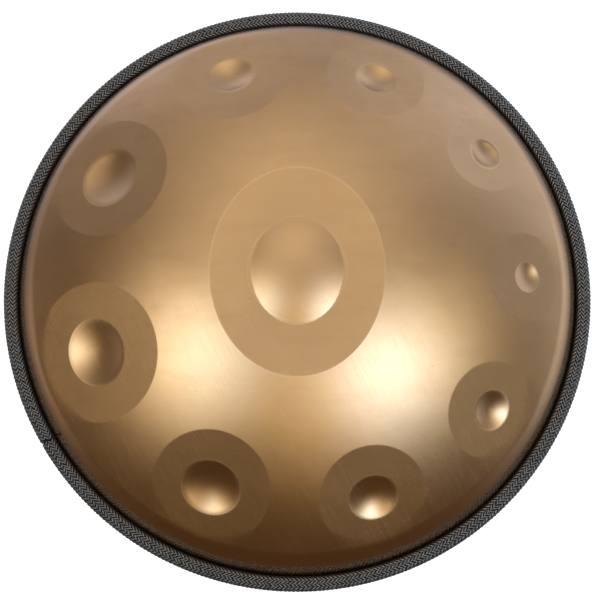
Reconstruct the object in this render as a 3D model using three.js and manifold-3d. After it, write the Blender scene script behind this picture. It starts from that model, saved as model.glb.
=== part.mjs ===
import * as THREE from 'three';
import Module from 'manifold-3d';

// Handpan: two pressed steel domes bonded flange to flange, with a braided rope trim round the rim.
// All sizes are in millimetres. Z is up and the instrument rests on the flat land round its port.
// Heights inside the builders are measured from the rim plane, which is the joint between the shells.

// Sheet steel and domes
const SHEET = 1.2;               // thickness of both shells
const DOME_RADIUS = 428;         // curvature of both domes
const TOP_RISE = 118;            // rim plane to the pole of the top dome, before the ding is pressed
const BASE_DEPTH = 108;          // rim plane to the resting land
const SHOULDER_RADIUS = 242;     // where the dome starts to turn down into the side wall
const WALL_RADIUS = 265.2;       // foot of the side wall
const FLANGE_RADIUS = 271.5;     // outer edge of both flanges
const FLANGE_GAP = 1.1;          // between the two flanges
const FLANGE_FACE = FLANGE_GAP / 2 + SHEET;
const FLANGE_FILLET = 0.9;       // run of the bend between wall and flange

// Port in the bottom shell
const LAND_RADIUS = 72;          // outer edge of the flat resting land
const PORT_RADIUS = 52;          // clear radius of the port
const NECK_BEND = 5;             // bend radius from the land into the neck
const NECK_HEIGHT = 22;          // neck rise above the land

// Rim trim
const TRIM_GAP = 0.3;            // clearance left between neighbouring pieces
const BOND_THICKNESS = FLANGE_GAP - 2 * TRIM_GAP;
const BOND_INNER = 265;
const BOND_OUTER = 271;
const CHANNEL_WALL = 1.2;
const CHANNEL_INNER = 265.9;
const ROPE_CENTRE = 272.6;       // radius of the rope's centreline
const ROPE_RADIUS = 7.4;
const COVER_THICKNESS = 1.4;
const SLIT_HALF = FLANGE_FACE + TRIM_GAP + CHANNEL_WALL + TRIM_GAP; // half height of the rope's slot
const SEAM_AZIMUTH = 211.5;      // where the two ends of the rope meet, degrees from +X
const SEAM_GAP = 0.8;

// Tessellation
const TURN_STEPS = 48;
const SLIVER = 0.03;             // facets flatter than this are merged after the pressing cuts
const FIELD_STEPS = 32;
const MERIDIAN_STEP = 30;        // length of the dome facets
const SHOULDER_STEPS = 3;
const NECK_STEPS = 3;
const BOWL_STEPS = 20;
const CAP_RINGS = 4;

// Tone fields, clockwise from the far left as the player sees the top from above. Azimuth is in
// degrees from +X, slope is how far the field leans from level, both in degrees. radial and across
// are the half sizes of the field; dimple and depth are the radius and depth of the bowl in it.
const TONE_FIELDS = [
  { azimuth: 107.8, slope: 28.5, radial: 57, across: 54, dimple: 24.0, depth: 5.7 },
  { azimuth: 68.9, slope: 28.5, radial: 48, across: 46, dimple: 19.8, depth: 4.7 },
  { azimuth: 34.2, slope: 29.4, radial: 42, across: 38, dimple: 16.0, depth: 4.0 },
  { azimuth: 0.6, slope: 29.2, radial: 43, across: 40, dimple: 13.8, depth: 2.8 },
  { azimuth: 325.7, slope: 29.4, radial: 45, across: 44, dimple: 18.4, depth: 3.5 },
  { azimuth: 289.0, slope: 28.9, radial: 51, across: 48, dimple: 22.0, depth: 4.7 },
  { azimuth: 247.8, slope: 28.2, radial: 56, across: 53, dimple: 26.8, depth: 4.8 },
  { azimuth: 200.5, slope: 26.8, radial: 64, across: 62, dimple: 30.0, depth: 4.7 },
  { azimuth: 151.3, slope: 27.4, radial: 60, across: 58, dimple: 29.0, depth: 5.2 },
];

// Ding: a flattened oval round a raised central dome
const DING_HALF_X = 76;
const DING_HALF_Y = 92;
const DING_DOME_HALF_X = 43; // of the cap at the height of the flat's middle
const DING_DOME_HALF_Y = 44.3;
const DING_DOME_RISE = 6.2;

const wasm = await Module();
wasm.setup();

const rad = THREE.MathUtils.degToRad;

/** How far a dome drops below its pole, or below any tangent plane, at this distance from the contact. */
function domeDrop(radius) {
  return DOME_RADIUS - Math.sqrt(DOME_RADIUS ** 2 - radius ** 2);
}

/** Height above the rim plane of a dome whose pole is at rise: a sphere that turns down at the shoulder. */
function domeHeight(radius, rise) {
  const sphere = rise - domeDrop(radius);
  if (radius <= SHOULDER_RADIUS) return sphere;
  const spare = rise - domeDrop(WALL_RADIUS) - FLANGE_FACE;
  const reach = (radius - SHOULDER_RADIUS) / (WALL_RADIUS - SHOULDER_RADIUS);
  return sphere - spare * reach ** 2;
}

/** Profile points of a dome from an inner radius out to the flange edge, as Vector2(radius, height). */
function domeProfile(innerRadius, rise) {
  const points = [];
  const steps = Math.round((SHOULDER_RADIUS - innerRadius) / MERIDIAN_STEP);
  for (let i = 0; i <= steps; i += 1) {
    const radius = innerRadius + ((SHOULDER_RADIUS - innerRadius) * i) / steps;
    points.push(new THREE.Vector2(radius, domeHeight(radius, rise)));
  }
  const bendStart = WALL_RADIUS - FLANGE_FILLET * 0.3;
  for (let i = 1; i <= SHOULDER_STEPS; i += 1) {
    const radius = SHOULDER_RADIUS + ((bendStart - SHOULDER_RADIUS) * i) / SHOULDER_STEPS;
    points.push(new THREE.Vector2(radius, domeHeight(radius, rise)));
  }
  const bend = new THREE.QuadraticBezierCurve(
    points[points.length - 1],
    new THREE.Vector2(WALL_RADIUS, FLANGE_FACE),
    new THREE.Vector2(WALL_RADIUS + FLANGE_FILLET, FLANGE_FACE),
  );
  points.push(...bend.getPoints(2).slice(1));
  return points;
}

/** The same profile moved to its left side by a distance, seen along the direction of travel. */
function offsetProfile(points, distance) {
  return points.map((point, i) => {
    const before = points[Math.max(i - 1, 0)];
    const after = points[Math.min(i + 1, points.length - 1)];
    const inward = point.clone().sub(before).normalize();
    const outward = after.clone().sub(point).normalize();
    const along = inward.clone().add(outward).normalize();
    const stretch = i > 0 && i < points.length - 1 ? along.dot(outward) : 1;
    return new THREE.Vector2(
      point.x - (along.y * distance) / stretch,
      point.y + (along.x * distance) / stretch,
    );
  });
}

/**
 * Turns a closed profile of [radius, height] pairs round the Z axis. Every turn starts at the rope's
 * seam, so that the facets of neighbouring pieces line up. gap is an angle left out at the seam.
 */
function lathe(points, steps = TURN_STEPS, gap = 0) {
  const profile = points.map((p) => (Array.isArray(p) ? new THREE.Vector2(p[0], p[1]) : p));
  const start = Math.PI / 2 + rad(SEAM_AZIMUTH) + gap / 2;
  const geometry = new THREE.LatheGeometry(profile, steps, start, 2 * Math.PI - gap);
  return geometry.rotateX(Math.PI / 2);
}

/** Welds a geometry's vertices and makes a solid of it, facing out. */
function toSolid(geometry) {
  const position = geometry.getAttribute('position');
  const source = geometry.index ? geometry.index.array : [...Array(position.count).keys()];
  const seen = new Map();
  const vertices = [];
  const weld = [];
  for (let i = 0; i < position.count; i += 1) {
    const corner = [position.getX(i), position.getY(i), position.getZ(i)];
    const key = corner.map((v) => Math.round(v * 1e4)).join();
    if (!seen.has(key)) {
      seen.set(key, vertices.length / 3);
      vertices.push(...corner);
    }
    weld.push(seen.get(key));
  }
  const triangles = [];
  for (let i = 0; i < source.length; i += 3) {
    const [a, b, c] = [weld[source[i]], weld[source[i + 1]], weld[source[i + 2]]];
    if (a !== b && b !== c && c !== a) triangles.push(a, b, c);
  }
  const build = () => new wasm.Manifold(new wasm.Mesh({
    numProp: 3,
    vertProperties: new Float32Array(vertices),
    triVerts: new Uint32Array(triangles),
  }));
  const solid = build();
  if (solid.volume() > 0) return solid;
  for (let i = 0; i < triangles.length; i += 3) {
    [triangles[i + 1], triangles[i + 2]] = [triangles[i + 2], triangles[i + 1]];
  }
  return build();
}

/** Makes a plain indexed geometry of a solid. */
function toGeometry(solid) {
  const mesh = solid.getMesh();
  const geometry = new THREE.BufferGeometry();
  geometry.setAttribute('position', new THREE.BufferAttribute(new Float32Array(mesh.vertProperties), 3));
  geometry.setIndex(new THREE.BufferAttribute(new Uint32Array(mesh.triVerts), 1));
  geometry.computeVertexNormals();
  return geometry;
}

/** Frame of a spot on the top dome: Z along the dome's normal, X down the slope, origin on the dome. */
function domeFrame(azimuth, slope) {
  const pole = TOP_RISE - DOME_RADIUS;
  return new THREE.Matrix4()
    .makeTranslation(0, 0, pole)
    .multiply(new THREE.Matrix4().makeRotationZ(rad(azimuth)))
    .multiply(new THREE.Matrix4().makeRotationY(rad(slope)))
    .multiply(new THREE.Matrix4().makeTranslation(0, 0, DOME_RADIUS));
}

/**
 * Cutter that presses an oval flat into the dome. Its underside runs from the middle of the flat to the
 * oval where the flat meets the dome, and a little beyond it. depth moves the whole face down.
 */
function flatCutter(halfX, halfY, depth) {
  const middle = -domeDrop(Math.sqrt(halfX * halfY)) - depth;
  const overrun = 1.08;
  const top = 12;
  const vertices = [0, 0, middle, 0, 0, top];
  for (let i = 0; i < FIELD_STEPS; i += 1) {
    const angle = (2 * Math.PI * i) / FIELD_STEPS;
    const x = halfX * Math.cos(angle);
    const y = halfY * Math.sin(angle);
    const edge = -domeDrop(Math.hypot(x, y)) - depth;
    const outside = middle + (edge - middle) * overrun;
    vertices.push(x * overrun, y * overrun, outside, x * overrun, y * overrun, top);
  }
  const triangles = [];
  for (let i = 0; i < FIELD_STEPS; i += 1) {
    const low = 2 + 2 * i;
    const nextLow = 2 + 2 * ((i + 1) % FIELD_STEPS);
    triangles.push(0, nextLow, low, 1, low + 1, nextLow + 1);
    triangles.push(low, nextLow, nextLow + 1, low, nextLow + 1, low + 1);
  }
  const geometry = new THREE.BufferGeometry();
  geometry.setAttribute('position', new THREE.Float32BufferAttribute(vertices, 3));
  geometry.setIndex(triangles);
  return geometry;
}

/** Radius of the ball whose cap has this height over a rim of this radius. */
function ballRadius(rim, height) {
  return (rim ** 2 + height ** 2) / (2 * height);
}

/** Cap of a ball centred on the origin, with its pole on +Z, wider than a rim of this radius. */
function ballCap(radius, rim) {
  const reach = 1.25 * Math.asin(rim / radius);
  const arc = [];
  for (let i = 0; i <= CAP_RINGS; i += 1) {
    const angle = (reach * i) / CAP_RINGS;
    arc.push([radius * Math.sin(angle), radius * Math.cos(angle)]);
  }
  return lathe([...arc, [0, radius * Math.cos(reach)]], BOWL_STEPS);
}

/** Presses the tone fields and dimples into a dome solid. inset is 0 outside and SHEET inside. */
function pressToneFields(dome, inset) {
  return TONE_FIELDS.reduce((solid, field) => {
    const frame = domeFrame(field.azimuth, field.slope);
    const flat = flatCutter(field.radial, field.across, inset).applyMatrix4(frame);
    const curve = ballRadius(field.dimple, field.depth);
    const face = -domeDrop(Math.sqrt(field.radial * field.across));
    const bowl = ballCap(curve + inset, field.dimple)
      .rotateX(Math.PI)
      .translate(0, 0, face + curve - field.depth)
      .applyMatrix4(frame);
    return solid.subtract(toSolid(flat)).subtract(toSolid(bowl));
  }, dome);
}

/** Presses the ding's oval flat and adds its raised dome. inset is 0 outside and SHEET inside. */
function pressDing(dome, inset) {
  const frame = domeFrame(0, 0);
  const flat = flatCutter(DING_HALF_X, DING_HALF_Y, inset).applyMatrix4(frame);
  const rim = Math.sqrt(DING_DOME_HALF_X * DING_DOME_HALF_Y);
  const curve = ballRadius(rim, DING_DOME_RISE);
  const face = TOP_RISE - domeDrop(Math.sqrt(DING_HALF_X * DING_HALF_Y));
  const raised = ballCap(curve - inset, rim)
    .scale(DING_DOME_HALF_X / rim, DING_DOME_HALF_Y / rim, 1)
    .translate(0, 0, face + DING_DOME_RISE - curve);
  return dome.subtract(toSolid(flat)).add(toSolid(raised));
}

/** Top shell: the pressed outside surface less the pressed inside surface. */
function topShell() {
  const skin = domeProfile(0, TOP_RISE);
  const flangeFoot = FLANGE_FACE - SHEET;
  const edge = [[FLANGE_RADIUS, FLANGE_FACE], [FLANGE_RADIUS, flangeFoot], [0, flangeFoot]];
  const outside = lathe([...skin, ...edge]);
  const inner = offsetProfile(skin, -SHEET);
  inner[0].x = 0;
  const last = inner[inner.length - 1];
  const inside = lathe([...inner, [last.x, flangeFoot - 5], [0, flangeFoot - 5]]);
  const full = pressToneFields(pressDing(toSolid(outside), 0), 0);
  const hollow = pressToneFields(pressDing(toSolid(inside), SHEET), SHEET);
  return toGeometry(full.subtract(hollow).simplify(SLIVER));
}

/** Bottom shell: dome, flat resting land, bend and neck of the port as one sheet. */
function bottomShell() {
  const poleDepth = BASE_DEPTH + domeDrop(LAND_RADIUS);
  const dome = domeProfile(LAND_RADIUS, poleDepth).reverse();
  const skin = [new THREE.Vector2(FLANGE_RADIUS, FLANGE_FACE), ...dome];
  const bendRadius = PORT_RADIUS + NECK_BEND;
  for (let i = 0; i <= NECK_STEPS; i += 1) {
    const angle = (Math.PI / 2) * (i / NECK_STEPS);
    skin.push(new THREE.Vector2(
      bendRadius - NECK_BEND * Math.sin(angle),
      BASE_DEPTH - NECK_BEND * (1 - Math.cos(angle)),
    ));
  }
  skin.push(new THREE.Vector2(PORT_RADIUS, BASE_DEPTH - NECK_HEIGHT));
  const inner = offsetProfile(skin, SHEET);
  const section = [...skin, ...inner.reverse()];
  section.push(section[0].clone());
  return toGeometry(toSolid(lathe(section.map((p) => [p.x, -p.y]))));
}

/** Plain ring of rectangular section. */
function ring(inner, outer, low, high) {
  return lathe([[inner, low], [outer, low], [outer, high], [inner, high], [inner, low]]);
}

/** Adhesive between the flanges. */
function bondRing() {
  return toGeometry(toSolid(ring(BOND_INNER, BOND_OUTER, -BOND_THICKNESS / 2, BOND_THICKNESS / 2)));
}

/** Rubber U channel over the edge of both flanges. */
function edgeChannel() {
  const slot = FLANGE_FACE + TRIM_GAP;
  const side = slot + CHANNEL_WALL;
  const floor = FLANGE_RADIUS + TRIM_GAP;
  const back = floor + CHANNEL_WALL;
  return toGeometry(toSolid(lathe([
    [CHANNEL_INNER, slot], [floor, slot], [floor, -slot], [CHANNEL_INNER, -slot],
    [CHANNEL_INNER, -side], [back, -side], [back, side], [CHANNEL_INNER, side], [CHANNEL_INNER, slot],
  ])));
}

/** Points of a round section, open towards the axis where the rope is slit, from bottom to top. */
function slitCircle(radius, halfSlit, steps) {
  const mouth = Math.asin(halfSlit / radius);
  const points = [];
  for (let i = 0; i <= steps; i += 1) {
    const angle = -Math.PI + mouth + ((2 * Math.PI - 2 * mouth) * i) / steps;
    points.push([ROPE_CENTRE + radius * Math.cos(angle), radius * Math.sin(angle)]);
  }
  return points;
}

/** Turns a rope section all the way round except for the butt joint. */
function ropeLathe(section) {
  const turned = lathe(section, TURN_STEPS, SEAM_GAP / ROPE_CENTRE);
  return toGeometry(toSolid(withEndCaps(turned, section)));
}

/** Closes the two ends of a partly turned section. */
function withEndCaps(geometry, section) {
  const contour = section.slice(0, -1).map(([r, z]) => new THREE.Vector2(r, z));
  const faces = THREE.ShapeUtils.triangulateShape(contour, []);
  const index = [...geometry.index.array];
  const lastRow = TURN_STEPS * section.length;
  const turnsLeft = THREE.ShapeUtils.area(contour) > 0;
  faces.forEach(([a, b, c]) => {
    const [p, q] = turnsLeft ? [b, c] : [c, b];
    index.push(a, p, q, lastRow + a, lastRow + q, lastRow + p);
  });
  const closed = new THREE.BufferGeometry();
  closed.setAttribute('position', geometry.getAttribute('position').clone());
  closed.setIndex(index);
  return closed;
}

/** Soft core of the rope, with the slot for the channel. */
function ropeCore() {
  const radius = ROPE_RADIUS - COVER_THICKNESS - TRIM_GAP;
  const slotFloor = FLANGE_RADIUS + TRIM_GAP + CHANNEL_WALL + TRIM_GAP;
  const round = slitCircle(radius, SLIT_HALF, 10);
  return ropeLathe([...round, [slotFloor, SLIT_HALF], [slotFloor, -SLIT_HALF], round[0]]);
}

/** Braided cover of the rope, open along the slot. */
function ropeSheath() {
  const outer = slitCircle(ROPE_RADIUS, SLIT_HALF, 12);
  const inner = slitCircle(ROPE_RADIUS - COVER_THICKNESS, SLIT_HALF, 10).reverse();
  return ropeLathe([...outer, ...inner, outer[0]]);
}

/** Names a solid, gives it its finish and lifts it from the rim plane to its place. */
function piece(name, geometry, colour, roughness, metalness) {
  const material = new THREE.MeshStandardMaterial({ color: colour, roughness, metalness });
  material.name = name;
  const mesh = new THREE.Mesh(geometry.translate(0, 0, BASE_DEPTH), material);
  mesh.name = name;
  return mesh;
}

const handpan = new THREE.Group();
handpan.name = 'handpan';
handpan.add(
  piece('top_shell', topShell(), 0xb08c5e, 0.35, 1),
  piece('bottom_shell', bottomShell(), 0xa07c50, 0.38, 1),
  piece('bond_ring', bondRing(), 0x3a3632, 0.6, 0),
  piece('edge_channel', edgeChannel(), 0x0c0c0c, 0.7, 0),
  piece('rope_core', ropeCore(), 0x4a4a48, 0.9, 0),
  piece('rope_sheath', ropeSheath(), 0x2c2c2e, 0.85, 0),
);

export default handpan;
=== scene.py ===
"""Handpan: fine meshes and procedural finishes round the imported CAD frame. Lengths in the builders are
millimetres above the rim plane; place() turns them into metres in the CAD frame."""

import math

import bmesh
import bpy
import numpy as np
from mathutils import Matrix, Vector
from mathutils.geometry import delaunay_2d_cdt


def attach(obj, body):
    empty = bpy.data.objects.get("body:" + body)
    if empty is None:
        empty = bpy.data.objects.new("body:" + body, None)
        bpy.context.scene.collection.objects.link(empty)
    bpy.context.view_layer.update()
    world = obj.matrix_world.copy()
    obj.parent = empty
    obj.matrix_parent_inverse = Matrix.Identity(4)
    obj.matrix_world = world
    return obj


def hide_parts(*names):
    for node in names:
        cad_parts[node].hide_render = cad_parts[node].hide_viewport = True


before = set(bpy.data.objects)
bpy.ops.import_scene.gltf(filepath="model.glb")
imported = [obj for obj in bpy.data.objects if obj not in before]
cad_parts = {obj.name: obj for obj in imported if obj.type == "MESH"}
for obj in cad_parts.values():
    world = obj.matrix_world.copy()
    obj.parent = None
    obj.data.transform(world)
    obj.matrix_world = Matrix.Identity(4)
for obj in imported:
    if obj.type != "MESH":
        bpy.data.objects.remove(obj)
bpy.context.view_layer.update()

# ---------------------------------------------------------------- sizes, the same as the CAD's, in mm
SHEET = 1.2
DOME_RADIUS = 428.0
TOP_RISE = 118.0
BASE_DEPTH = 108.0
SHOULDER_RADIUS = 242.0
WALL_RADIUS = 265.2
FLANGE_RADIUS = 271.5
FLANGE_FACE = 1.75
LAND_RADIUS = 72.0
PORT_RADIUS = 52.0
NECK_BEND = 5.0
NECK_HEIGHT = 22.0
ROPE_CENTRE = 272.6
SLIT_HALF = 3.55
SEAM_AZIMUTH = 211.5
SEAM_GAP = 0.9
# azimuth, slope (degrees), half sizes down the slope and across it, radius and depth of the dimple,
# share of the dimple's steepest slope that is left at its rim. The values were fitted to the object's
# outlines and shading by separate scripts, then partly changed by eye.
TONE_FIELDS = (
    (107.8, 28.5, 57, 54, 24.0, 5.7, 0.2),
    (68.9, 28.5, 48, 46, 19.8, 4.7, 0.2),
    (34.2, 29.4, 42, 38, 16.0, 4.0, 0.25),
    (0.6, 29.2, 43, 40, 13.8, 2.8, 0.7),
    (325.7, 29.4, 45, 44, 18.4, 3.5, 0.4),
    (289.0, 28.9, 51, 48, 22.0, 4.7, 0.35),
    (247.8, 28.2, 56, 53, 26.8, 4.8, 0.5),
    (200.5, 26.8, 64, 62, 30.0, 4.7, 0.6),
    (151.3, 27.4, 60, 58, 29.0, 5.2, 0.5),
)
DING = (76.0, 92.0)         # half sizes of the oval flat in the middle
DING_DOME = (43.0, 44.3)    # half sizes of its raised cap at the height of the flat's middle
DING_DOME_RISE = 6.2
LIP_START = 0.80            # share of a dimple's radius where its slope is steepest

# how far each meeting of two surfaces is rounded, in mm of height
FLANGE_BLEND = 1.6
CREASE_BLEND = 0.07
SHOULDER_CREASE_BLEND = 1.3     # added where a field runs over the shoulder
DING_BLEND = 0.15
LIP_BLEND = 0.06

SHOULDER_CREASE_START = 224.0   # radius where the creases begin to soften
SHOULDER_CREASE_SPREAD = 16.0   # and over how much radius they do
FORMULA_REACH = 400.0           # the dome is taken as level beyond this radius, far outside the shell
OTHER_SIDE = -60.0              # a point this far below a field's plane is on another part of the dome
SHELL_SEGMENTS = 300

random = np.random.default_rng(7)


# ---------------------------------------------------------------- mesh helpers
def place(points):
    """Millimetres above the rim plane to metres in the CAD frame."""
    return (np.asarray(points, float) + (0, 0, BASE_DEPTH)) * 0.001


def new_mesh(name, points, faces, normals=None):
    """Object of a mesh given in mm above the rim plane."""
    mesh = bpy.data.meshes.new(name)
    faces = np.asarray(faces, np.int32)
    corners = faces.shape[1]
    mesh.vertices.add(len(points))
    mesh.vertices.foreach_set("co", place(points).astype(np.float32).ravel())
    mesh.loops.add(faces.size)
    mesh.loops.foreach_set("vertex_index", faces.ravel())
    mesh.polygons.add(len(faces))
    mesh.polygons.foreach_set("loop_start", np.arange(len(faces), dtype=np.int32) * corners)
    mesh.polygons.foreach_set("use_smooth", np.full(len(faces), True))
    mesh.update(calc_edges=True)
    mesh.validate()
    if normals is not None:
        mesh.normals_split_custom_set_from_vertices(normals.tolist())
    obj = bpy.data.objects.new(name, mesh)
    bpy.context.scene.collection.objects.link(obj)
    return obj


def grid_faces(rows, columns, wrap_columns=True, wrap_rows=False, flip=False):
    """Quads of a rows x columns grid of points stored row by row."""
    r = np.arange(rows if wrap_rows else rows - 1)
    c = np.arange(columns if wrap_columns else columns - 1)
    rr, cc = np.meshgrid(r, c, indexing="ij")
    nr, nc = (rr + 1) % rows, (cc + 1) % columns
    quads = np.stack([rr * columns + cc, rr * columns + nc, nr * columns + nc, nr * columns + cc], -1)
    quads = quads.reshape(-1, 4)
    return quads[:, ::-1] if flip else quads


def turned(name, profile, segments):
    """Closed section of (radius, height) pairs turned round the axis."""
    angle = np.linspace(0, 2 * np.pi, segments, endpoint=False)
    profile = np.asarray(profile, float)
    points = np.stack(
        [
            profile[:, :1] * np.cos(angle),
            profile[:, :1] * np.sin(angle),
            np.repeat(profile[:, 1:], segments, 1),
        ],
        -1,
    ).reshape(-1, 3)
    obj = new_mesh(name, points, grid_faces(len(profile), segments, wrap_rows=True))
    face_outwards(obj)
    return obj


def polar(radius, angle):
    """Plan positions at a radius and angles round the axis."""
    return np.stack([radius * np.cos(angle), radius * np.sin(angle)], -1)


def bell(distance, width):
    """1 at no distance, falling smoothly to nothing a few widths away."""
    return np.exp(-((distance / width) ** 2))


def set_point_values(obj, name, values):
    """Stores one number for each vertex, for the materials to read."""
    attribute = obj.data.attributes.new(name, "FLOAT", "POINT")
    attribute.data.foreach_set("value", values.astype(np.float32))


def face_outwards(obj):
    """Turns every face of a closed mesh to face out."""
    bm = bmesh.new()
    bm.from_mesh(obj.data)
    bmesh.ops.recalc_face_normals(bm, faces=bm.faces)
    bm.to_mesh(obj.data)
    bm.free()


def offset_profile(profile, distance):
    """The profile moved to its left by a distance."""
    p = np.asarray(profile, float)
    along = np.gradient(p, axis=0)
    along /= np.linalg.norm(along, axis=1, keepdims=True)
    return p + np.stack([-along[:, 1], along[:, 0]], -1) * distance


# ---------------------------------------------------------------- the pressed top surface
def smooth_min(a, b, k):
    """The lower of two heights, rounded over k mm where they meet."""
    h = np.clip(0.5 + 0.5 * (b - a) / k, 0, 1)
    return b * (1 - h) + a * h - k * h * (1 - h)


def smooth_max(a, b, k):
    """The higher of two heights, rounded over k mm where they meet."""
    return -smooth_min(-a, -b, k)


def dome_drop(radius):
    """How far the dome has dropped below its top at a radius."""
    return DOME_RADIUS - np.sqrt(DOME_RADIUS**2 - np.minimum(radius, FORMULA_REACH) ** 2)


def dome_height(radius, rise):
    """Height of a dome, turned down at the shoulder and rounded into the flange."""
    radius = np.asarray(radius, float)
    sphere = rise - dome_drop(radius)
    spare = rise - dome_drop(WALL_RADIUS) - FLANGE_FACE
    reach = np.maximum(radius - SHOULDER_RADIUS, 0) / (WALL_RADIUS - SHOULDER_RADIUS)
    return smooth_max(sphere - spare * reach**2, np.full_like(sphere, FLANGE_FACE), FLANGE_BLEND)


def field_frame(azimuth, slope):
    """Origin on the dome and the down-slope, across and outward directions there."""
    a, s = math.radians(azimuth), math.radians(slope)
    out = np.array([math.sin(s) * math.cos(a), math.sin(s) * math.sin(a), math.cos(s)])
    down = np.array([math.cos(s) * math.cos(a), math.cos(s) * math.sin(a), -math.sin(s)])
    across = np.array([-math.sin(a), math.cos(a), 0.0])
    return np.array([0, 0, TOP_RISE - DOME_RADIUS]) + out * DOME_RADIUS, down, across, out


def pressed_flat(u, v, half_u, half_v):
    """Height of an oval flat from the tangent plane, and how far out each point is (1 is the edge)."""
    q = np.sqrt((u / half_u) ** 2 + (v / half_v) ** 2)
    middle = -dome_drop(math.sqrt(half_u * half_v))
    edge = -dome_drop(np.hypot(u, v) / np.maximum(q, 1e-6))
    return middle + (edge - middle) * q, q


def ball_radius(rim, height):
    """Radius of the ball that a cap of this rim radius and height is cut from."""
    return (rim**2 + height**2) / (2 * height)


def dimple_bowl(away, dimple, depth, ease):
    """Height of a dimple's bowl over its field, carried on outside the rim at the lip's slope."""
    t = np.linspace(0, 1, 401)
    lip = np.clip((t - LIP_START) / (1 - LIP_START), 0, 1)
    slope = np.where(t < LIP_START, (t / LIP_START) ** 0.8, 1 - (1 - ease) * lip * lip * (3 - 2 * lip))
    height = np.cumsum(slope) / slope.sum() - 1
    share = away / dimple
    return depth * (np.interp(share, t, height) + np.maximum(share - 1, 0) * ease / slope.mean())


def with_ding(x, y, height):
    """The dome's height over these places with the ding's flat and its raised cap pressed into it."""
    flat, q = pressed_flat(x, y, *DING)
    pressed = smooth_min(height - TOP_RISE, flat, CREASE_BLEND)
    rim = math.sqrt(DING_DOME[0] * DING_DOME[1])
    curve = ball_radius(rim, DING_DOME_RISE)
    face = -dome_drop(math.sqrt(DING[0] * DING[1]))
    inside = 1 - (x * rim / (curve * DING_DOME[0])) ** 2 - (y * rim / (curve * DING_DOME[1])) ** 2
    raised = face + DING_DOME_RISE - curve + curve * np.sqrt(np.maximum(inside, 0))
    pressed = np.where(q < 0.9, smooth_max(pressed, raised, DING_BLEND), pressed)
    return np.where(q < 1.3, pressed + TOP_RISE, height)


def top_surface(x, y):
    """Points of the outside of the top shell over these places."""
    points = np.stack([x, y, with_ding(x, y, dome_height(np.hypot(x, y), TOP_RISE))], -1)
    outer = np.clip((np.hypot(x, y) - SHOULDER_CREASE_START) / SHOULDER_CREASE_SPREAD, 0, 1)
    blend = CREASE_BLEND + SHOULDER_CREASE_BLEND * outer
    for azimuth, slope, half_u, half_v, *dimple in TONE_FIELDS:
        origin, down, across, out = field_frame(azimuth, slope)
        local = points - origin
        u, v, w = local @ down, local @ across, local @ out
        flat, q = pressed_flat(u, v, half_u, half_v)
        pressed = smooth_min(w, flat, blend)
        away = np.hypot(u, v)
        bowl = dimple_bowl(away, *dimple) - dome_drop(math.sqrt(half_u * half_v))
        pressed = np.where(away < dimple[0] * 1.4, smooth_min(pressed, bowl, LIP_BLEND), pressed)
        near = (q < 1.6) & (w > OTHER_SIDE)
        moved = origin + np.outer(u, down) + np.outer(v, across) + np.outer(pressed, out)
        points = np.where(near[:, None], moved, points)
    return points


def top_normals(x, y, step=0.2):
    """Directions square to the pressed surface, from its slopes over a short step."""
    dx = top_surface(x + step, y) - top_surface(x - step, y)
    dy = top_surface(x, y + step) - top_surface(x, y - step)
    normal = np.cross(dx, dy)
    return normal / np.linalg.norm(normal, axis=1, keepdims=True)


DOME_EDGE_RADIUS = 42.0      # rough radii of the ding's two edges, to measure distances from them
FLAT_EDGE_RADIUS = 84.0


def painted_edge_highlights(points):
    """How much painted highlight each point gets along the edges of the ding and the dimples, most on the
    side towards -Y, 0 to 1.
    """
    x, y, _ = points.T
    from_dome = (np.hypot(x / DING_DOME[0], y / DING_DOME[1]) - 1) * DOME_EDGE_RADIUS
    from_flat = (np.hypot(x / DING[0], y / DING[1]) - 1) * FLAT_EDGE_RADIUS
    painted_edge_highlight = 0.25 * bell(from_dome, 0.8) + 0.35 * bell(from_flat, 0.9)
    for azimuth, slope, _, _, dimple, *_ in TONE_FIELDS:
        centre, *_ = field_frame(azimuth, slope)
        away = np.linalg.norm(points - centre, axis=1) - dimple
        # the painted highlight is strongest on the dimples towards -Y
        highlight_weight = 0.7 - 0.5 * math.sin(math.radians(azimuth))
        painted_edge_highlight = painted_edge_highlight + highlight_weight * bell(away, 0.7)
    return np.minimum(painted_edge_highlight, 1)


def oval(half_u, half_v, spacing, grow):
    """Points on an oval made larger by grow."""
    count = max(int(2 * np.pi * math.sqrt(half_u * half_v) / spacing), 24)
    t = np.linspace(0, 2 * np.pi, count, endpoint=False)
    return np.stack([(half_u + grow) * np.cos(t), (half_v + grow) * np.sin(t)], -1)


def on_dome(local, azimuth, slope):
    """Plan positions of a field's local (u, v) points on the dome."""
    origin, down, across, out = field_frame(azimuth, slope)
    w = -dome_drop(np.hypot(local[:, 0], local[:, 1]))
    for _ in range(6):
        p = origin + np.outer(local[:, 0], down) + np.outer(local[:, 1], across) + np.outer(w, out)
        w = w - (p[:, 2] - dome_height(np.hypot(p[:, 0], p[:, 1]), TOP_RISE)) * out[2]
    return p[:, :2]


CREASE_RINGS = (-5.2, -3.2, -1.9, -1.0, -0.45, 0.0, 0.45, 1.0, 1.9, 3.2, 5.2)
CREASE_MARGIN = 1.4          # kept free between a crease's rings and the even spread
FINE_RADIUS = 233.0          # from here out the spread is fine enough for the creases that cross it
SPREAD_END = SHOULDER_RADIUS + 5
RIM_SEGMENTS = 480


def pressed_edges():
    """Every pressed edge: where it is, its half sizes and how far apart points lie along it."""
    edges = [(0.0, 0.0, *DING, 2.4), (0.0, 0.0, *DING_DOME, 1.9)]
    for azimuth, slope, half_u, half_v, dimple, *_ in TONE_FIELDS:
        edges.append((azimuth, slope, half_u, half_v, 2.4))
        edges.append((azimuth, slope, dimple, dimple, 1.7))
    return edges


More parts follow.
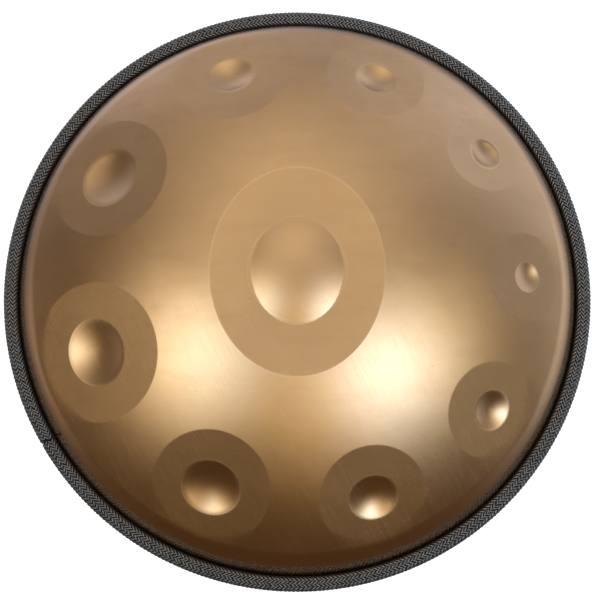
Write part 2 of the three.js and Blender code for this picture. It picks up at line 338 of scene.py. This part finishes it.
def even_spread():
    """Plan positions spread evenly over the dome, finer near the shoulder."""
    spread = [np.zeros((1, 2))]
    coarse = np.arange(4.5, FINE_RADIUS, 4.5)
    fine = np.arange(FINE_RADIUS + 1.2, SPREAD_END, 1.9)
    for ring, radius in enumerate((*coarse, *fine)):
        count = int(2 * np.pi * radius / (4.7 if radius < FINE_RADIUS else 2.7))
        spread.append(polar(radius, (np.arange(count) + 0.5 * (ring % 2)) * 2 * np.pi / count))
    return np.concatenate(spread)


def far_from_edge(plan, azimuth, slope, half_u, half_v):
    """Which plan positions leave room for the rings of a pressed edge."""
    origin, down, across, out = field_frame(azimuth, slope)
    radius = np.hypot(*plan.T)
    local = np.column_stack([plan, dome_height(radius, TOP_RISE)]) - origin
    u, v = local @ down, local @ across
    q = np.sqrt((u / half_u) ** 2 + (v / half_v) ** 2)
    gap = np.abs(q - 1) * np.hypot(u, v) / np.maximum(q, 1e-6)
    return (gap > CREASE_RINGS[-1] + CREASE_MARGIN) | (local @ out < OTHER_SIDE) | (radius > FINE_RADIUS)


def plan_points():
    """Plan positions for the top's mesh: rings along every crease, an even spread between them."""
    spread = even_spread()
    keep = np.ones(len(spread), bool)
    rings = []
    for azimuth, slope, half_u, half_v, spacing in pressed_edges():
        keep &= far_from_edge(spread, azimuth, slope, half_u, half_v)
        rings += [on_dome(oval(half_u, half_v, spacing, g), azimuth, slope) for g in CREASE_RINGS]
    rings = np.concatenate(rings)
    rings = rings[np.hypot(*rings.T) < FINE_RADIUS]
    wall = np.arange(SPREAD_END, 263, 1.7)
    foot = (263.6, 264.4, 265.2, 266, 267)
    turn = np.linspace(0, 2 * np.pi, RIM_SEGMENTS, endpoint=False)
    rim = [polar(radius, turn) for radius in (*wall, *foot, FLANGE_RADIUS)]
    return np.concatenate([spread[keep], rings, *rim])


def triangulate(plan):
    """The plan's positions without doubles, and triangles between them that all face up."""
    flat, _, faces, *_ = delaunay_2d_cdt([Vector(p) for p in plan.tolist()], [], [], 0, 1e-4)
    plan = np.array([tuple(p) for p in flat])
    faces = np.array([list(f) for f in faces if len(f) == 3])
    a, b, c = plan[faces[:, 0]], plan[faces[:, 1]], plan[faces[:, 2]]
    area = (b[:, 0] - a[:, 0]) * (c[:, 1] - a[:, 1]) - (b[:, 1] - a[:, 1]) * (c[:, 0] - a[:, 0])
    return plan, np.where((area > 0)[:, None], faces, faces[:, ::-1])[np.abs(area) > 1e-7]


WALL_SHINE_START = 246.0
WALL_SHINE_SPREAD = 9.0


def top_shell():
    """Outside and inside of the top shell, as two separate meshes that both reach the flange's edge."""
    plan, faces = triangulate(plan_points())
    outside = top_surface(*plan.T)
    skin = new_mesh("top_shell_skin", outside, faces, top_normals(*plan.T))
    # stores each point's painted edge highlight for the colour to read
    set_point_values(skin, "painted_edge_highlight", painted_edge_highlights(outside))
    set_point_values(skin, "wall", np.clip((np.hypot(*plan.T) - WALL_SHINE_START) / WALL_SHINE_SPREAD, 0, 1))
    radii = np.concatenate([np.linspace(0.5, 236, 62), np.arange(239, 267, 2.4), (268.5, FLANGE_RADIUS)])
    turn = np.linspace(0, 2 * np.pi, SHELL_SEGMENTS, endpoint=False)
    x, y = polar(radii[:, None], turn).reshape(-1, 2).T
    inner = top_surface(x, y) - SHEET * top_normals(x, y)
    faces = grid_faces(len(radii), SHELL_SEGMENTS, flip=True)
    return skin, new_mesh("top_shell_lining", inner, faces)


def bottom_shell():
    """Bottom shell with its resting land, port neck and flange as one closed section."""
    pole_depth = BASE_DEPTH + float(dome_drop(LAND_RADIUS))
    wall, bowl = np.linspace(269, 259, 22), np.linspace(258, LAND_RADIUS + 2, 64)
    dome = [(r, dome_height(r, pole_depth)) for r in (FLANGE_RADIUS, *wall, *bowl)]
    land = [(LAND_RADIUS, BASE_DEPTH - 0.05), (LAND_RADIUS - 2, BASE_DEPTH), (60, BASE_DEPTH)]
    bend = PORT_RADIUS + NECK_BEND
    arc = [
        (bend - NECK_BEND * math.sin(a), BASE_DEPTH - NECK_BEND * (1 - math.cos(a)))
        for a in np.linspace(0, math.pi / 2, 9)
    ]
    neck = [(PORT_RADIUS, BASE_DEPTH - h) for h in (9, 14, NECK_HEIGHT - 0.6)]
    outside = [(r, -float(z)) for r, z in dome + land + arc + neck]
    inside = offset_profile(outside, -SHEET)
    inside[0] = (FLANGE_RADIUS, -FLANGE_FACE + SHEET)
    lip = [(PORT_RADIUS + 0.25, -BASE_DEPTH + NECK_HEIGHT), (PORT_RADIUS + 0.95, -BASE_DEPTH + NECK_HEIGHT)]
    section = [*outside, *lip, *inside[::-1].tolist()]
    return turned("bottom_shell_steel", section, SHELL_SEGMENTS)


# ---------------------------------------------------------------- rim trim
def rope_point(turn, angle, radius):
    """Point of the rope: turn round the rim, angle round the section from outwards to up, radius in it."""
    reach = ROPE_CENTRE + radius * np.cos(angle)
    return np.stack([reach * np.cos(turn), reach * np.sin(turn), radius * np.sin(angle)], -1)


SEAM = math.radians(SEAM_AZIMUTH)
SEAM_HALF = 0.5 * SEAM_GAP / ROPE_CENTRE
SEAM_PINCH_WIDTH = 1.6


def seam_pinch(turn):
    """How much the rope is drawn in near the butt joint, 0 to 1."""
    away = np.abs((turn - SEAM + np.pi) % (2 * np.pi) - np.pi) * ROPE_CENTRE
    return bell(away, SEAM_PINCH_WIDTH)


BACKING_OUTER = 6.55
BACKING_INNER = 6.0
BACKING_MOUTH = 6.5          # radius at which the slit has its full width
BACKING_STEPS = 720


def rope_backing():
    """Dark layer under the yarns: a slit tube with two ends."""
    mouth = math.asin(SLIT_HALF / BACKING_MOUTH)
    angle = np.linspace(-math.pi + mouth, math.pi - mouth, 33)
    turn = np.linspace(SEAM + SEAM_HALF, SEAM - SEAM_HALF + 2 * np.pi, BACKING_STEPS + 1)
    tt, aa = np.meshgrid(turn, angle, indexing="ij")
    outer = rope_point(tt, aa, BACKING_OUTER - 0.5 * seam_pinch(tt))
    inner = rope_point(tt, aa[:, ::-1], BACKING_INNER)
    section = len(angle) * 2
    points = np.concatenate([outer, inner], 1).reshape(-1, 3)
    ends = [
        [base + i, base + i + 1, base + section - 2 - i, base + section - 1 - i]
        for base in (0, BACKING_STEPS * section)
        for i in range(len(angle) - 1)
    ]
    sides = grid_faces(BACKING_STEPS + 1, section)
    obj = new_mesh("rope_backing", points, np.concatenate([sides, np.array(ends)]))
    face_outwards(obj)
    return obj


COLUMNS = 12
STROKES = 450
YARN_WIDTH = 2.05        # along the rope
YARN_REACH = 0.62        # half a stroke's length, in columns
YARN_CREST = 7.48
YARN_FOOT = 6.1
YARN_PATCH = np.meshgrid([-1.0, -0.72, -0.28, 0.28, 0.72, 1.0], [-1.0, -0.62, 0.0, 0.62, 1.0], indexing="ij")
COLUMN_STEP = 2 * math.pi / COLUMNS
STROKE_PITCH = 2 * math.pi / STROKES


def yarn_column(column):
    """Points, tones and yarn coordinates of one column of parallel strokes; the tones change at random from
    stroke to stroke and carry painted light on the rope's inner upper side.
    """
    aa, bb = YARN_PATCH
    middle = (column + 0.5) * COLUMN_STEP
    slant = 1 if column % 2 else -1
    centre = SEAM + (np.arange(STROKES) + 0.5 + 0.25 * slant) * STROKE_PITCH
    half_width = 0.5 * YARN_WIDTH / (STROKE_PITCH * ROPE_CENTRE)
    wobble = random.normal(0, 0.05, (STROKES, 3))
    along_rim = slant * aa * YARN_REACH + bb * half_width + wobble[:, 0, None, None]
    turn = centre[:, None, None] + STROKE_PITCH * along_rim
    angle = middle + aa * COLUMN_STEP * YARN_REACH - slant * bb * 0.02
    arch = np.cos(aa * math.pi / 2 * 0.92) ** 0.8
    crown = np.sqrt(1 - 0.94 * bb**2)
    radius = YARN_FOOT + (YARN_CREST - YARN_FOOT) * arch * crown + 0.25 * wobble[:, 1, None, None]
    radius = radius - 0.7 * seam_pinch(turn)
    turn = np.clip(turn, SEAM + SEAM_HALF, SEAM - SEAM_HALF + 2 * math.pi)
    points = rope_point(turn, angle, radius).reshape(STROKES, -1, 3)
    # painted light: the columns on the rope's inner upper side, shaded by the shell's wall, are made lighter
    painted_light_inner_side = 0.9 * max(0.0, -math.cos(middle)) if middle < math.pi else 0.0
    tones_and_painted_light = np.repeat(random.random(STROKES) + painted_light_inner_side, aa.size)
    uv = np.stack([aa * 2.6, bb * 0.5 + 0.5], -1).reshape(-1, 2)
    shift = np.stack([np.arange(STROKES) * 7.3, np.zeros(STROKES)], -1)
    return points, tones_and_painted_light, (uv[None] + shift[:, None]).reshape(-1, 2)


def over_slit(column):
    """Whether a column lies over the slit, where there is no braid."""
    return abs(math.pi - (column + 0.5) * COLUMN_STEP) < COLUMN_STEP * 0.75


def yarn_faces(points):
    """Quads of every stroke, each turned to face away from the rope's middle."""
    strokes, per, _ = points.shape
    quad = grid_faces(*YARN_PATCH[0].shape, wrap_columns=False)
    faces = (quad[None] + (np.arange(strokes) * per)[:, None, None]).reshape(-1, 4)
    points = points.reshape(-1, 3)
    a, b, c = points[faces[:, 0]], points[faces[:, 1]], points[faces[:, 2]]
    middle = points[faces].mean(1)
    axis = middle * (1, 1, 0)
    axis = axis / np.linalg.norm(axis, axis=1, keepdims=True) * ROPE_CENTRE
    outward = (np.cross(b - a, c - a) * (middle - axis)).sum(1) > 0
    return np.where(outward[:, None], faces, faces[:, ::-1])


def rope_braid():
    """The yarns where they pass over: columns of parallel strokes whose slants alternate."""
    columns = [yarn_column(column) for column in range(COLUMNS) if not over_slit(column)]
    points, tones_and_painted_light, uvs = (np.concatenate(each) for each in zip(*columns))
    obj = new_mesh("rope_braid", points.reshape(-1, 3), yarn_faces(points))
    # the tone attribute holds random change between strokes plus painted light on the rope's inner upper
    # side
    set_point_values(obj, "tone", tones_and_painted_light)
    loops = np.zeros(len(obj.data.loops), np.int32)
    obj.data.loops.foreach_get("vertex_index", loops)
    layer = obj.data.uv_layers.new(name="yarn")
    layer.data.foreach_set("uv", uvs[loops].astype(np.float32).ravel())
    return obj


def edge_channel():
    """Rubber U channel with rounded lips."""
    slot, side, floor, back, mouth = 2.05, 3.25, 271.8, 273.0, 265.9
    upper = [(mouth + 0.1, slot), (mouth, slot + 0.25), (mouth, side - 0.35), (mouth + 0.35, side)]
    section = [*upper, (back - 0.3, side), (back, side - 0.3)]
    section += [(r, -z) for r, z in reversed(section)]
    section += [(floor, -slot), (floor, slot)]
    return turned("edge_rubber", section, 360)


# ---------------------------------------------------------------- materials
class Nodes:
    """A material's node tree, with short methods that add nodes to it."""

    def __init__(self, name):
        self.material = bpy.data.materials.new(name)
        self.material.use_nodes = True
        self.tree = self.material.node_tree
        self.shader = self.tree.nodes["Principled BSDF"]

    def add(self, kind, inputs=None, **settings):
        node = self.tree.nodes.new(kind)
        for key, value in settings.items():
            setattr(node, key, value)
        for key, value in (inputs or {}).items():
            if isinstance(value, bpy.types.NodeSocket):
                self.tree.links.new(value, node.inputs[key])
            else:
                node.inputs[key].default_value = value
        return node

    def math(self, operation, a, b=0.0, c=0.0):
        return self.add("ShaderNodeMath", {0: a, 1: b, 2: c}, operation=operation).outputs[0]

    def stretch(self, value, low, high, out_low=0.0, out_high=1.0):
        """Eases the stretch between low and high out to the given limits."""
        inputs = {"Value": value, "From Min": low, "From Max": high, "To Min": out_low, "To Max": out_high}
        return self.add("ShaderNodeMapRange", inputs, interpolation_type="SMOOTHSTEP").outputs[0]

    def mix(self, factor, a, b):
        """Goes from colour a to colour b; a colour mix has its colours at inputs 6 and 7."""
        return self.add("ShaderNodeMix", {0: factor, 6: a, 7: b}, data_type="RGBA").outputs[2]

    def object_space(self, scale=(1, 1, 1), turn=0.0):
        where = self.add("ShaderNodeTexCoord").outputs["Object"]
        rotated = self.add("ShaderNodeMapping", {"Vector": where, "Rotation": (0, 0, turn)}).outputs[0]
        return self.add("ShaderNodeMapping", {"Vector": rotated, "Scale": scale}).outputs[0]

    def noise(self, vector, scale=1.0, detail=3.0, rough=0.5):
        inputs = {"Vector": vector, "Scale": scale, "Detail": detail, "Roughness": rough}
        return self.add("ShaderNodeTexNoise", inputs).outputs["Fac"]

    def set(self, **values):
        """Links or sets the shader's own inputs, such as Base_Color=..."""
        for key, value in values.items():
            socket = self.shader.inputs[key.replace("_", " ")]
            if isinstance(value, bpy.types.NodeSocket):
                self.tree.links.new(value, socket)
            else:
                socket.default_value = value


BRUSH_ANGLE = math.radians(-30)


def brushing(n):
    """Straight brush lines, stray scratches, and how hard each place has been worked, 0 to 1."""
    fine = n.noise(n.object_space((1500, 45, 45), BRUSH_ANGLE), 1.0, 2.0, 0.6)
    broad = n.noise(n.object_space((560, 24, 24), BRUSH_ANGLE + 0.04), 1.0, 2.0, 0.5)
    lines = n.math("ADD", n.math("MULTIPLY", fine, 0.5), n.math("MULTIPLY", broad, 0.5))
    stray = n.noise(n.object_space((1500, 70, 70), BRUSH_ANGLE - 0.5), 1.0, 1.0, 0.5)
    scratch = n.stretch(stray, 0.74, 0.82)
    near_side = n.add("ShaderNodeSeparateXYZ", {0: n.object_space()}).outputs["Y"]
    patchy = n.stretch(n.noise(n.object_space(), 11.0, 2.0, 0.5), 0.34, 0.62, 0.35, 1.0)
    worked = n.math("MULTIPLY", patchy, n.stretch(near_side, 0.06, -0.06, 0.04, 1.0))
    return lines, scratch, worked


def steel_colour(n, tint, cloud):
    """Heat colour with clouds, mottling, smears and small specks, with a painted pale highlight along the
    edges of the ding and the dimples.
    """
    smear = n.noise(n.object_space((14, 60, 60)), 1.0, 3.0, 0.6)
    mottle = n.noise(n.object_space(), 55.0, 3.0, 0.6)
    speck = n.stretch(n.noise(n.object_space(), 420.0, 1.0, 0.5), 0.745, 0.79)
    # painted highlight along the edges of the ding and the dimples
    painted_edge_highlight = n.add("ShaderNodeAttribute", attribute_name="painted_edge_highlight").outputs["Fac"]

    def shade(red, green, blue):
        return tint[0] * red, tint[1] * green, tint[2] * blue, 1

    tone = n.mix(n.stretch(cloud, 0.3, 0.7), shade(0.92, 0.92, 0.92), shade(1.07, 1.07, 1.07))
    tone = n.mix(n.stretch(mottle, 0.35, 0.7, 0.0, 0.35), tone, shade(0.93, 0.88, 0.80))
    tone = n.mix(n.stretch(smear, 0.45, 0.75, 0.0, 0.3), tone, shade(0.80, 0.78, 0.76))
    tone = n.mix(n.math("MULTIPLY", speck, 0.45), tone, shade(0.40, 0.36, 0.32))
    # mixes in the painted pale highlight along those edges
    return n.mix(n.math("MULTIPLY", painted_edge_highlight, 0.30), tone, (0.98, 0.80, 0.56, 1))


def bronze_steel(name, tint, roughness):
    """Satin heat-coloured steel: cloudy tone, straight brush lines, fine scratches and small specks."""
    n = Nodes(name)
    n.shader.inputs["Metallic"].default_value = 1.0
    cloud = n.noise(n.object_space(), 7.0, 4.0, 0.55)
    lines, scratch, worked = brushing(n)
    wall = n.add("ShaderNodeAttribute", attribute_name="wall").outputs["Fac"]
    streak = n.math("MULTIPLY", n.math("SUBTRACT", lines, 0.5), n.math("MULTIPLY_ADD", worked, 0.16, 0.02))
    gloss = n.math("ADD", streak, n.math("MULTIPLY_ADD", cloud, 0.05, roughness - 0.02))
    gloss = n.math("ADD", gloss, n.math("MULTIPLY", scratch, 0.02))
    gloss = n.math("SUBTRACT", gloss, n.math("MULTIPLY", wall, 0.07))
    n.set(Base_Color=steel_colour(n, tint, cloud), Roughness=gloss)
    dents = n.noise(n.object_space(), 22.0, 2.0, 0.5)
    relief = n.math("MULTIPLY", lines, n.math("MULTIPLY_ADD", worked, 0.028, 0.001))
    relief = n.math("ADD", relief, n.math("MULTIPLY", scratch, -0.0004))
    relief = n.math("ADD", relief, n.math("MULTIPLY", dents, 0.16))
    bump = n.add("ShaderNodeBump", {"Height": relief, "Distance": 0.001, "Strength": 0.9})
    n.tree.links.new(bump.outputs[0], n.shader.inputs["Normal"])
    return n.material


def yarn():
    """Charcoal polyester yarn: fine filaments along each stroke, a little change from yarn to yarn, and
    painted light on the rope's inner upper side.
    """
    n = Nodes("charcoal_yarn")
    uv = n.add("ShaderNodeUVMap", uv_map="yarn").outputs[0]
    strands = n.add("ShaderNodeMapping", {"Vector": uv, "Scale": (0.9, 9.0, 1.0)}).outputs[0]
    filament = n.noise(strands, 1.0, 2.0, 0.5)
    # the tone attribute holds random change from stroke to stroke plus painted light on the rope's inner
    # upper side
    tone = n.add("ShaderNodeAttribute", attribute_name="tone").outputs["Fac"]
    shade = n.math("ADD", n.math("MULTIPLY", filament, 0.6), n.math("MULTIPLY", tone, 0.4))
    colour = n.mix(n.stretch(shade, 0.25, 0.75), (0.011, 0.011, 0.011, 1), (0.078, 0.077, 0.074, 1))
    n.set(Base_Color=colour, Roughness=n.stretch(filament, 0.3, 0.7, 0.17, 0.30))
    n.shader.inputs["IOR"].default_value = 1.85
    n.shader.inputs["Specular IOR Level"].default_value = 1.0
    n.shader.inputs["Specular Tint"].default_value = (1.0, 0.97, 0.93, 1.0)
    n.shader.inputs["Sheen Weight"].default_value = 0.08
    n.shader.inputs["Sheen Roughness"].default_value = 0.4
    bump = n.add("ShaderNodeBump", {"Height": filament, "Distance": 0.0003, "Strength": 0.8})
    n.tree.links.new(bump.outputs[0], n.shader.inputs["Normal"])
    return n.material


def dark_stuff(name, low, high, roughness, scale, relief):
    """Matt dark material with fine grain, for rubber, filler yarn and adhesive."""
    n = Nodes(name)
    grain = n.noise(n.object_space(), scale, 4.0, 0.6)
    n.set(Base_Color=n.mix(n.stretch(grain, 0.35, 0.65), (*low, 1), (*high, 1)))
    n.set(Roughness=n.stretch(grain, 0.3, 0.7, roughness - 0.08, roughness + 0.08))
    n.shader.inputs["Specular IOR Level"].default_value = 0.2
    bump = n.add("ShaderNodeBump", {"Height": grain, "Distance": relief, "Strength": 0.6})
    n.tree.links.new(bump.outputs[0], n.shader.inputs["Normal"])
    return n.material


def finish(obj, material):
    """Gives the whole object one material, in its only slot."""
    obj.data.materials.clear()
    obj.data.materials.append(material)


# ---------------------------------------------------------------- the object
BRONZE = (0.66, 0.42, 0.22)
top_metal = bronze_steel("bronze_steel_top", BRONZE, 0.25)
bottom_metal = bronze_steel("bronze_steel_bottom", [c * 0.94 for c in BRONZE], 0.30)
inside_metal = bronze_steel("bronze_steel_inside", [c * 0.7 for c in BRONZE], 0.42)
charcoal = yarn()
NEAR_BLACK = ((0.006, 0.006, 0.006), (0.014, 0.014, 0.014))
backing_dark = dark_stuff("braid_shadow_layer", *NEAR_BLACK, 0.85, 900, 0.0004)
rubber = dark_stuff("black_rubber", *NEAR_BLACK, 0.7, 700, 0.0002)
filler = dark_stuff("filler_yarn", (0.05, 0.05, 0.048), (0.10, 0.10, 0.095), 0.9, 600, 0.0005)
adhesive = dark_stuff("cured_adhesive", (0.03, 0.027, 0.024), (0.06, 0.055, 0.05), 0.5, 300, 0.0002)

skin, lining = top_shell()
base = bottom_shell()
channel = edge_channel()
backing = rope_backing()
braid = rope_braid()
finish(skin, top_metal)
finish(lining, inside_metal)
finish(base, bottom_metal)
finish(channel, rubber)
finish(backing, backing_dark)
finish(braid, charcoal)
for piece in (skin, lining, base, channel, backing, braid):
    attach(piece, "root")
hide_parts("top_shell")
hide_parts("bottom_shell")
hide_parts("edge_channel")
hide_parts("rope_sheath")
finish(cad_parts["rope_core"], filler)
finish(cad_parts["bond_ring"], adhesive)


# ---------------------------------------------------------------- camera
CAMERA_TILT = math.radians(9.43)
CAMERA_DISTANCE = 1.126      # metres from the middle of the rim plane
CAMERA_LENS = 70.74
CAMERA_SHIFT = (0.0046, -0.0156)


def make_camera():
    """Almost straight down at the top shell, leaning towards the player's side."""
    data = bpy.data.cameras.new("camera")
    data.sensor_width = 36.0
    data.lens = CAMERA_LENS
    data.shift_x, data.shift_y = CAMERA_SHIFT
    data.clip_start, data.clip_end = 0.01, 50.0
    camera = bpy.data.objects.new("camera", data)
    bpy.context.scene.collection.objects.link(camera)
    height = BASE_DEPTH * 0.001 + math.cos(CAMERA_TILT) * CAMERA_DISTANCE
    camera.location = (0, -math.sin(CAMERA_TILT) * CAMERA_DISTANCE, height)
    camera.rotation_euler = (CAMERA_TILT, 0, 0)
    bpy.context.scene.camera = camera


# ---------------------------------------------------------------- studio
# Soft lights far away: angle from the zenith, azimuth, how tight the light is, colour times strength.
# The values were fitted to the object's reflections by a separate script, then rounded and partly changed.
STUDIO_LIGHTS = (
    (29, 208, 39, (0.35, 1.09, 2.40)),     # left softbox: its core, then its skirt
    (34, 204, 20, (1.95, 1.82, 1.29)),
    (31, 324, 35, (1.80, 2.75, 4.80)),     # right softbox: its core, then its skirt
    (39, 342, 20, (1.06, 1.09, 0.82)),
    (30, 95, 5.7, (0.89, 0.89, 0.81)),     # broad overhead glow
    (27, 289, 18, (0.80, 0.67, 0.29)),     # low fill between the softboxes
    (89, 46, 6.8, (0.66, 0.78, 1.07)),     # pale surroundings at the far side and to the right
    (103, 3, 9.0, (0.61, 0.69, 0.82)),
    (106, 117, 6.1, (0.63, 0.71, 0.94)),
    (104, 184, 13, (0.30, 0.29, 0.29)),
)
ROOM_LIGHT = (0.091, 0.053, 0.027)


def studio_world():
    """Soft lobes of light round the object, the same from wherever it is seen."""
    world = bpy.data.worlds.new("studio")
    world.use_nodes = True
    bpy.context.scene.world = world
    tree = world.node_tree

    def node(kind, operation, *inputs):
        made = tree.nodes.new(kind)
        made.operation = operation
        for socket, value in zip(made.inputs, inputs):
            if isinstance(value, bpy.types.NodeSocket):
                tree.links.new(value, socket)
            else:
                socket.default_value = value
        return made

    towards = tree.nodes.new("ShaderNodeTexCoord").outputs["Generated"]
    total = ROOM_LIGHT
    for zenith, azimuth, tightness, colour in STUDIO_LIGHTS:
        z, a = math.radians(zenith), math.radians(azimuth)
        axis = (math.sin(z) * math.cos(a), math.sin(z) * math.sin(a), math.cos(z))
        facing = node("ShaderNodeVectorMath", "DOT_PRODUCT", towards, axis).outputs["Value"]
        power = node("ShaderNodeMath", "MULTIPLY_ADD", facing, tightness, -tightness).outputs[0]
        glow = node("ShaderNodeMath", "EXPONENT", power).outputs[0]
        scaled = node("ShaderNodeVectorMath", "SCALE", colour)
        tree.links.new(glow, scaled.inputs["Scale"])
        total = node("ShaderNodeVectorMath", "ADD", scaled.outputs[0], total).outputs[0]
    tree.links.new(total, tree.nodes["Background"].inputs["Color"])


FLOOR_FLAT = 6500.0
COVE = 1500.0
WALL_TOP = 2600.0
FLOOR_SEGMENTS = 96
FLOOR_GLOW = 0.65            # keeps the backdrop nearly white in the dim room light


def make_floor():
    """Large pale floor that curves up into a low wall far away. It is only a backdrop: it lights nothing."""
    flat = [(r, 0.0) for r in np.linspace(1, FLOOR_FLAT, 40)]
    rise = np.linspace(0.1, math.pi / 2, 12)
    bend = [(FLOOR_FLAT + COVE * math.sin(a), COVE * (1 - math.cos(a))) for a in rise]
    section = [*flat, *bend, (FLOOR_FLAT + COVE, WALL_TOP)]
    turn = np.linspace(0, 2 * np.pi, FLOOR_SEGMENTS, endpoint=False)
    points = [(r * math.cos(a), r * math.sin(a), z - BASE_DEPTH) for r, z in section for a in turn]
    floor = new_mesh("floor", points, grid_faces(len(section), FLOOR_SEGMENTS))
    n = Nodes("pale_floor")
    grain = n.noise(n.object_space(), 40.0, 3.0, 0.5)
    n.set(Base_Color=n.mix(grain, (0.86, 0.86, 0.86, 1), (0.90, 0.90, 0.90, 1)))
    n.shader.inputs["Roughness"].default_value = 0.9
    n.shader.inputs["Emission Color"].default_value = (1, 1, 1, 1)
    n.shader.inputs["Emission Strength"].default_value = FLOOR_GLOW
    finish(floor, n.material)
    floor.visible_glossy = False
    floor.visible_diffuse = False


make_camera()
studio_world()
make_floor()
bpy.context.scene.view_settings.view_transform = "Standard"

bpy.context.view_layer.update()
